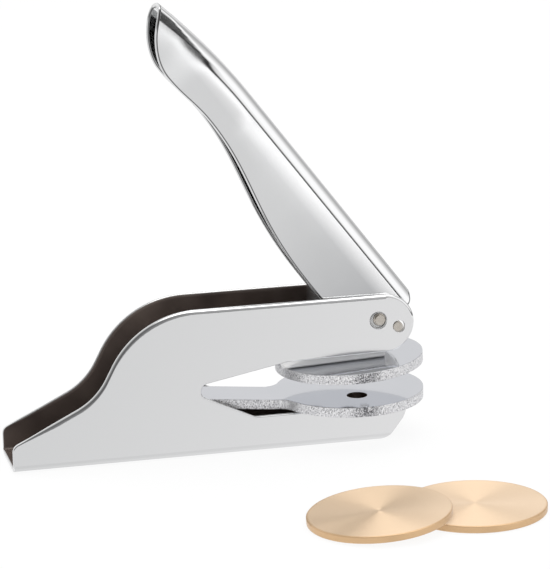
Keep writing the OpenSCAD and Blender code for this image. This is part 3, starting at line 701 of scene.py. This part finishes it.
class Nodes:
    """A node tree, built up step by step. A value is a number or another node's output."""

    def __init__(self, tree):
        self.tree = tree
        tree.nodes.clear()

    def node(self, kind, **settings):
        made = self.tree.nodes.new("ShaderNode" + kind)
        for key, value in settings.items():
            setattr(made, key, value)
        return made

    def link(self, source, target):
        self.tree.links.new(source, target)

    def put(self, target, value):
        """Sets a socket, or links it when the value is another node's output."""
        if isinstance(value, bpy.types.NodeSocket):
            self.link(value, target)
        else:
            target.default_value = value

    def put_colour(self, target, colour):
        self.put(target, colour if isinstance(colour, bpy.types.NodeSocket) else (*colour, 1.0))

    def math(self, operation, a, b=0.0):
        made = self.node("Math", operation=operation)
        self.put(made.inputs[0], a)
        self.put(made.inputs[1], b)
        return made.outputs[0]

    def length(self, a, b):
        """Length of a plane vector."""
        squares = [self.math("MULTIPLY", value, value) for value in (a, b)]
        return self.math("SQRT", self.math("ADD", *squares))

    def ramp(self, value, stops):
        """A colour ramp. stops is a list of (place, colour)."""
        made = self.node("ValToRGB")
        points = made.color_ramp.elements
        while len(points) < len(stops):
            points.new(1.0)
        for point, (place, colour) in zip(points, stops):
            point.position = place
            point.color = (*colour, 1.0)
        self.put(made.inputs[0], value)
        return made.outputs[0]

    def span(self, value, low, high, out_low=0.0, out_high=1.0):
        """Maps a stretch of a value to another stretch, held at its ends."""
        made = self.node("MapRange")
        for socket, number in zip(made.inputs[1:5], (low, high, out_low, out_high)):
            socket.default_value = number
        self.put(made.inputs[0], value)
        return made.outputs[0]

    def mix(self, factor, a, b):
        made = self.node("Mix", data_type="RGBA")
        self.put(made.inputs[0], factor)
        self.put_colour(made.inputs[6], a)
        self.put_colour(made.inputs[7], b)
        return made.outputs[2]

    def axes(self, vector):
        """x, y and z of a vector."""
        made = self.node("SeparateXYZ")
        self.put(made.inputs[0], vector)
        return made.outputs

    def moved(self, place, start):
        """A place, as seen from a start."""
        made = self.node("VectorMath", operation="SUBTRACT")
        self.put(made.inputs[0], place)
        made.inputs[1].default_value = start
        return made.outputs[0]


# The middle stretch of a noise, which spreads it over the whole of a finish.
NOISE_LOW, NOISE_HIGH = 0.3, 0.7
# Stretches of cut_share over which the raw cut comes in, and the painted dark line beside it, a
# painted dark reflection, comes and goes. Then their colours, and the raw cut's share of metal.
RAW_CUT, DARK_REFLECTION_RISE, DARK_REFLECTION_FALL = (0.72, 1.0), (0.06, 0.12), (0.42, 0.34)
RAW_COLOUR, DARK_REFLECTION_COLOUR = (0.86, 0.86, 0.86), (0.10, 0.10, 0.10)
RAW_METALLIC = 0.45


class Finish(Nodes):
    """One procedural material. Places are in metres, in the part's own frame."""

    def __init__(self, name):
        self.mat = bpy.data.materials.new(name)
        self.mat.use_nodes = True
        super().__init__(self.mat.node_tree)
        self.shader = self.node("BsdfPrincipled")
        self.output = self.node("OutputMaterial")
        self.link(self.shader.outputs["BSDF"], self.output.inputs["Surface"])
        self.place = self.node("TexCoord").outputs["Object"]

    def noise(self, scale, detail=2.0, stretch=None):
        made = self.node("TexNoise")
        vector = self.place
        if stretch is not None:
            mapping = self.node("Mapping")
            self.put(mapping.inputs["Vector"], vector)
            mapping.inputs["Scale"].default_value = stretch
            vector = mapping.outputs[0]
        self.put(made.inputs["Vector"], vector)
        made.inputs["Scale"].default_value = scale
        made.inputs["Detail"].default_value = detail
        return made.outputs["Fac"]

    def spread(self, noise, low=0.0, high=1.0):
        return self.span(noise, NOISE_LOW, NOISE_HIGH, low, high)

    def zone(self, distance, limits):
        """Goes from 0 to 1 between two limits in millimetres."""
        return self.span(distance, limits[0] * MM, limits[1] * MM)

    def bump(self, height, distance, strength=1.0):
        made = self.node("Bump")
        self.put(made.inputs["Height"], height)
        made.inputs["Distance"].default_value = distance
        self.put(made.inputs["Strength"], strength)
        self.link(made.outputs[0], self.shader.inputs["Normal"])
        return made

    def rounded(self, bump, radius):
        """Rounds the edges of a plain solid in its shading."""
        bevel = self.node("Bevel")
        bevel.samples = 8
        bevel.inputs["Radius"].default_value = radius
        self.link(bevel.outputs[0], bump.inputs["Normal"])

    def along(self, start, direction):
        """Distance from a start, along a direction."""
        dot = self.node("VectorMath", operation="DOT_PRODUCT")
        self.put(dot.inputs[0], self.moved(self.place, start))
        dot.inputs[1].default_value = direction
        return dot.outputs["Value"]

    def raw_edge(self, colour, metallic, line):
        """The colour with a thin dark line painted where the edge begins to round, a painted dark
        reflection, and a lighter raw cut.

        It also sets the metallic share, which is less on the raw cut.
        """
        cut = self.node("Attribute", attribute_name="cut_share").outputs["Fac"]
        raw = self.span(cut, *RAW_CUT)
        metal = self.math("MULTIPLY", metallic, self.span(raw, 0.0, 1.0, 1.0, RAW_METALLIC))
        self.put(self.shader.inputs["Metallic"], metal)
        # A thin dark line is painted where the edge begins to round: a painted dark reflection.
        dark = self.math("MULTIPLY", self.span(cut, *DARK_REFLECTION_RISE), self.span(cut, *DARK_REFLECTION_FALL))
        colour = self.mix(self.math("MULTIPLY", dark, line), colour, DARK_REFLECTION_COLOUR)
        return self.mix(raw, colour, RAW_COLOUR)

    def metal(self, colour, roughness, metallic=None):
        """Colour, roughness and metallic share. Without the last, a linked share is kept."""
        self.put_colour(self.shader.inputs["Base Color"], colour)
        self.put(self.shader.inputs["Roughness"], roughness)
        if metallic is not None:
            self.put(self.shader.inputs["Metallic"], metallic)


# ---- finishes ----

# Where a finish changes, in millimetres: from, to.
CHANNEL_SIDE, CHANNEL_FLOOR = (10.55, 10.45), (1.5, 1.6)    # the body's inner faces
CHANNEL_MOUTH = (-12, -4)     # where the body's dark brown painted shade inside ends, along x
BODY_PAINTED_SHADE = (-110, 20)        # painted shade, darker towards the body's rear, along x
HANDLE_PAINTED_SHADE = (-10, 50)       # the same painted shade along the handle, darkest at the pivot
HANDLE_PAINTED_HIGHLIGHT = (4.2, 8.8)      # height over the pivot where a painted highlight brightens the handle towards its back
BORE_EDGE = (3.9, 4.1)        # just outside the die plates' holes, where the bores' painted shade ends
RIM_MIDDLE = (6, 2)           # the darker front and rear of the die plates' rims, along x
BRASS_RIM = (22.2, 22.8)      # the blanks' rims
# Fine grain of the metal: its scale, and the height of its marks in metres.
GRAIN, GRAIN_HEIGHT = 9000.0, 0.000002
# Rings to a metre on the turned brass.
TURNED_RINGS = 5200.0


def plated_sheet():
    """Bright plate outside; dull inside the folded channel, and dark brown there as painted shade, but
    for its mouth.
    """
    f = Finish("plated_sheet")
    x, y, z = f.axes(f.place)
    between_walls = f.zone(f.math("ABSOLUTE", y), CHANNEL_SIDE)
    inside = f.math("MULTIPLY", between_walls, f.zone(z, CHANNEL_FLOOR))
    # The outside is painted darker towards the rear: painted shade.
    outside = f.mix(f.zone(x, BODY_PAINTED_SHADE), (0.785, 0.79, 0.79), (0.90, 0.90, 0.90))
    # The channel's inside is painted dark brown as shade, and light again towards its mouth.
    painted_inside_shade = f.mix(f.spread(f.noise(55.0)), (0.075, 0.056, 0.049), (0.165, 0.130, 0.112))
    painted_inside_shade = f.mix(f.zone(x, CHANNEL_MOUTH), painted_inside_shade, (0.85, 0.85, 0.85))
    rough = f.math("ADD", f.math("MULTIPLY", inside, 0.25), f.spread(f.noise(60.0, 3.0), 0.09, 0.13))
    colour = f.raw_edge(f.mix(inside, outside, painted_inside_shade), f.span(inside, 0.0, 1.0, 1.0, 0.45), 0.0)
    f.metal(colour, rough)
    f.bump(f.noise(GRAIN, stretch=(0.15, 1.0, 1.0)), GRAIN_HEIGHT)
    return f.mat


def plated_handle():
    """The same plate on the handle, darker towards the pivot by painted shade and brightest along the
    back by a painted highlight.
    """
    f = Finish("plated_handle")
    u = f.along(PIVOT, (-math.cos(HANDLE_LEAN), 0.0, math.sin(HANDLE_LEAN)))
    v = f.along(PIVOT, (math.sin(HANDLE_LEAN), 0.0, math.cos(HANDLE_LEAN)))
    # Painted shade darkens the handle towards its pivot; a painted highlight brightens it along its
    # back.
    outside = f.mix(f.zone(u, HANDLE_PAINTED_SHADE), (0.47, 0.475, 0.485), (0.78, 0.785, 0.785))
    outside = f.mix(f.zone(v, HANDLE_PAINTED_HIGHLIGHT), outside, (0.97, 0.97, 0.97))
    haze = f.noise(60.0, 3.0)
    colour = f.mix(f.spread(haze, 0.0, 0.12), outside, (0.9, 0.9, 0.9))
    f.metal(f.raw_edge(colour, 1.0, 0.9), f.spread(haze, 0.06, 0.09))
    f.bump(f.noise(GRAIN), GRAIN_HEIGHT)
    return f.mat


def plated_plate():
    """Bright faces, bores painted dark as shade and a coarse sheared rim, with a small round along every
    edge.
    """
    f = Finish("plated_plate")
    normal = f.axes(f.node("NewGeometry").outputs["Normal"])
    side = f.span(f.math("ABSOLUTE", normal[2]), 0.8, 0.6)
    face = f.mix(f.noise(70.0, 3.0), (0.70, 0.715, 0.75), (0.745, 0.755, 0.785))
    x, y, _ = f.axes(f.place)
    darker = f.math("MULTIPLY", f.zone(f.math("ABSOLUTE", x), RIM_MIDDLE), 0.13)
    specks = f.math("SUBTRACT", f.noise(3300.0, stretch=(1.0, 1.0, 0.7)), darker)
    rim = f.ramp(specks, [(0.30, (0.10, 0.10, 0.11)), (0.46, (0.66, 0.66, 0.68)),
                          (0.64, (0.95, 0.95, 0.96))])
    aside = f.math("SUBTRACT", f.math("ABSOLUTE", y), HOLE_ASIDE)
    # The bores' walls are painted near black: painted shade inside the holes.
    for off in (y, aside):
        rim = f.mix(f.zone(f.length(x, off), BORE_EDGE), (0.045, 0.03, 0.022), rim)
    f.metal(f.mix(side, face, rim), f.span(side, 0.0, 1.0, 0.07, 0.30), f.span(side, 0.0, 1.0, 1.0, 0.5))
    f.rounded(f.bump(specks, 0.00008, f.math("MULTIPLY", side, 0.5)), 0.5 * MM)
    return f.mat


def plated_arm():
    """Satin plate on the press arm."""
    f = Finish("plated_arm")
    haze = f.noise(80.0, 3.0)
    f.metal(f.mix(haze, (0.84, 0.84, 0.84), (0.92, 0.92, 0.92)), f.spread(haze, 0.08, 0.14), 0.4)
    f.rounded(f.bump(f.noise(5000.0), GRAIN_HEIGHT), 0.35 * MM)
    return f.mat


def plain_steel(name, dark, light, roughness, grain):
    """Turned or sawn steel of the pins, rivets and inner parts."""
    f = Finish(name)
    marks = f.noise(grain, 3.0)
    f.metal(f.mix(marks, dark, light), f.spread(marks, roughness - 0.06, roughness + 0.08), 1.0)
    f.rounded(f.bump(f.noise(grain * 6.0), 0.00001, 0.4), 0.3 * MM)
    return f.mat


def turned_brass(name, centre):
    """Brass face turned on a lathe: fine rings about the disc's centre, and a darker rim."""
    f = Finish(name)
    x, y, _ = f.axes(f.moved(f.place, centre))
    radius = f.length(x, y)
    rings = f.node("TexNoise", noise_dimensions="1D")
    f.put(rings.inputs["W"], f.math("MULTIPLY", radius, TURNED_RINGS))
    rings.inputs["Scale"].default_value = 1.0
    rings.inputs["Detail"].default_value = 3.0
    ring = rings.outputs["Fac"]
    face = f.mix(f.spread(ring), (0.93, 0.69, 0.46), (0.98, 0.75, 0.52))
    rim = (0.78, 0.52, 0.29)
    f.metal(f.mix(f.zone(radius, BRASS_RIM), face, rim), f.spread(ring, 0.30, 0.34), 0.62)
    f.shader.inputs["Anisotropic"].default_value = 0.9
    f.shader.inputs["Anisotropic Rotation"].default_value = 0.25
    f.link(f.node("Tangent", direction_type="RADIAL", axis="Z").outputs[0], f.shader.inputs["Tangent"])
    f.rounded(f.bump(ring, GRAIN_HEIGHT), 0.3 * MM)
    return f.mat


FINISHES = {
    "plated_sheet": plated_sheet(),
    "plated_handle": plated_handle(),
    "plated_arm": plated_arm(),
    "plated_plate": plated_plate(),
    "dark_steel": plain_steel("dark_steel", (0.16, 0.16, 0.17), (0.28, 0.28, 0.29), 0.42, 300.0),
    "bright_steel": plain_steel("bright_steel", (0.52, 0.52, 0.52), (0.72, 0.72, 0.72), 0.28, 500.0),
    "spring_steel": plain_steel("spring_steel", (0.30, 0.31, 0.33), (0.48, 0.49, 0.52), 0.3, 700.0),
    "pin_steel": plain_steel("pin_steel", (0.52, 0.47, 0.41), (0.78, 0.74, 0.68), 0.3, 900.0),
}
BLANKS = {"die_blank_lower": DIE_LOWER, "die_blank_upper": DIE_UPPER}


def dress_nodes():
    """Gives each solid its finish. The loose blanks don't show in the press."""
    for sub in frame["record"]["subparts"]:
        name = sub["node"]
        node = frame["nodes"][name]
        if name in BLANKS:
            finish = turned_brass(name + "_brass", BLANKS[name])
            node.visible_glossy = False
        else:
            finish = FINISHES[sub["material_slot"]]
        for i in range(len(node.data.materials)):
            node.data.materials[i] = finish


# ---- studio ----

FLOOR_SIZE, FLOOR_Z = 6.0, -0.0002
# How much of the floor that the camera sees is plain white. The rest holds the shadow.
FLOOR_WHITE = 0.9

# What the bright metal mirrors. Each list holds (degrees, grey). The ground's are heights, with
# the horizon at 0, and it has a list to the left, one behind to the right, and one elsewhere.
GROUND_REACH = (-90, 10)
GROUND = [(-90, 0.85), (-60, 0.76), (-30, 0.75), (-19, 0.84), (-16.5, 0.79), (-10.8, 0.79), (-9.5, 1.0),
          (-8.6, 1.25), (-7.6, 1.15), (-6.5, 0.03), (-3.0, 0.02), (-1, 0.4), (2, 0.85)]
LEFT_GROUND = [(-90, 1.15), (-60, 1.1), (-42, 0.86), (-20, 0.84), (-17, 0.78), (-12, 0.79), (2, 0.8)]
RIGHT_GROUND = [(-90, 0.85), (-60, 0.8), (-30, 0.78), (-11, 0.8), (-6.4, 0.12), (-3.5, 0.10), (2, 0.6)]
# Bearings count from the front, which is -y, to the right. The left and the right list fade in
# at both of their sides, from the first bearing of a pair to its second.
LEFT_FADES = ((4, -8), (-178, -150))
RIGHT_FADES = ((96, 106), (166, 160))
# The walls' list goes all round by bearing.
WALLS_REACH = (-180, 180)
WALLS = [(-180, 0.80), (-140, 0.70), (-95, 0.35), (-55, 0.10), (-10, 0.22), (12, 0.33), (28, 0.75),
         (45, 1.02), (72, 1.0), (90, 0.70), (108, 0.50), (122, 0.38), (140, 0.7), (155, 0.78),
         (180, 0.80)]
# Between these heights the walls give way to the ceiling, and the ground to the walls.
CEILING_RISE, HORIZON_RISE = (60.0, 78.0), (-1.0, 3.0)
WHITE = (1.0, 1.0, 1.0)
# The mirrored greys are slightly blue.
BLUE = 1.008

# A soft lamp over the press.
LAMP_PLACE, LAMP_AIM, LAMP_SIZE, LAMP_POWER = (0.1, 0.1, 0.9), (0, 0, 0), 0.8, 3.0


def pale_floor():
    bpy.ops.mesh.primitive_plane_add(size=FLOOR_SIZE, location=(0, 0, FLOOR_Z))
    floor = bpy.context.object
    floor.name = "studio_floor"
    f = Finish("floor_paper")
    f.metal((0.92, 0.92, 0.92), 0.9, 0.0)
    f.shader.inputs["Specular IOR Level"].default_value = 0.0
    glow = f.node("Emission")
    glow.inputs["Color"].default_value = (*WHITE, 1.0)
    seen = f.node("LightPath").outputs["Is Camera Ray"]
    blend = f.node("MixShader")
    f.put(blend.inputs[0], f.math("MULTIPLY", seen, FLOOR_WHITE))
    f.link(f.shader.outputs[0], blend.inputs[1])
    f.link(glow.outputs[0], blend.inputs[2])
    f.link(blend.outputs[0], f.output.inputs["Surface"])
    floor.data.materials.append(f.mat)
    floor.visible_glossy = False


def studio_world():
    """White, but for mirrors a pale ground, a thin dark horizon, walls and a white ceiling."""
    world = bpy.data.worlds.new("studio")
    scene.world = world
    world.use_nodes = True
    n = Nodes(world.node_tree)

    def rise(angle, reach):
        return n.span(angle, math.radians(reach[0]), math.radians(reach[1]))

    def greys(angle, reach, stops):
        low, high = reach
        return n.ramp(rise(angle, reach), [((degrees - low) / (high - low), (grey, grey, grey * BLUE))
                                           for degrees, grey in stops])

    def between(bearing, fades):
        return n.math("MULTIPLY", rise(bearing, fades[0]), rise(bearing, fades[1]))

    x, y, z = n.axes(n.node("TexCoord").outputs["Generated"])
    height = n.math("ARCSINE", z)
    bearing = n.math("ARCTAN2", x, n.math("MULTIPLY", y, -1.0))
    ground = n.mix(between(bearing, LEFT_FADES), greys(height, GROUND_REACH, GROUND),
                   greys(height, GROUND_REACH, LEFT_GROUND))
    ground = n.mix(between(bearing, RIGHT_FADES), ground, greys(height, GROUND_REACH, RIGHT_GROUND))
    walls = n.mix(rise(height, CEILING_RISE), greys(bearing, WALLS_REACH, WALLS), WHITE)
    mirrored = n.mix(rise(height, HORIZON_RISE), ground, walls)
    background = n.node("Background")
    by_mirror = n.node("LightPath").outputs["Is Glossy Ray"]
    n.link(n.mix(by_mirror, WHITE, mirrored), background.inputs["Color"])
    n.link(background.outputs[0], n.node("OutputWorld").inputs["Surface"])


def softbox(name, place, aim, size, power):
    light = bpy.data.lights.new(name, "AREA")
    light.shape = "SQUARE"
    light.size = size
    light.energy = power
    lamp = linked(name, light)
    lamp.location = place
    lamp.rotation_euler = (Vector(aim) - Vector(place)).to_track_quat("-Z", "Y").to_euler()


def photo_camera():
    azimuth, elevation, roll = (math.radians(a) for a in (CAMERA_AZIMUTH, CAMERA_ELEVATION, CAMERA_ROLL))
    back = Vector((-math.sin(azimuth) * math.cos(elevation),
                   -math.cos(azimuth) * math.cos(elevation), math.sin(elevation)))
    level = Vector((math.cos(azimuth), -math.sin(azimuth), 0.0))
    rise = back.cross(level)
    right = level * math.cos(roll) + rise * math.sin(roll)
    up = rise * math.cos(roll) - level * math.sin(roll)
    data = bpy.data.cameras.new("photo_camera")
    data.lens = CAMERA_LENS
    data.sensor_width = CAMERA_SENSOR
    data.clip_start = CAMERA_CLIP
    camera = linked("photo_camera", data)
    turn = Matrix((right, up, back)).transposed().to_4x4()
    camera.matrix_world = Matrix.Translation(CAMERA_TARGET + back * CAMERA_DISTANCE) @ turn
    scene.camera = camera


dress_nodes()
replace_sheets()
replace_spring()
pale_floor()
studio_world()
softbox("top_box", LAMP_PLACE, LAMP_AIM, LAMP_SIZE, LAMP_POWER)
photo_camera()
scene.view_settings.view_transform = "Standard"
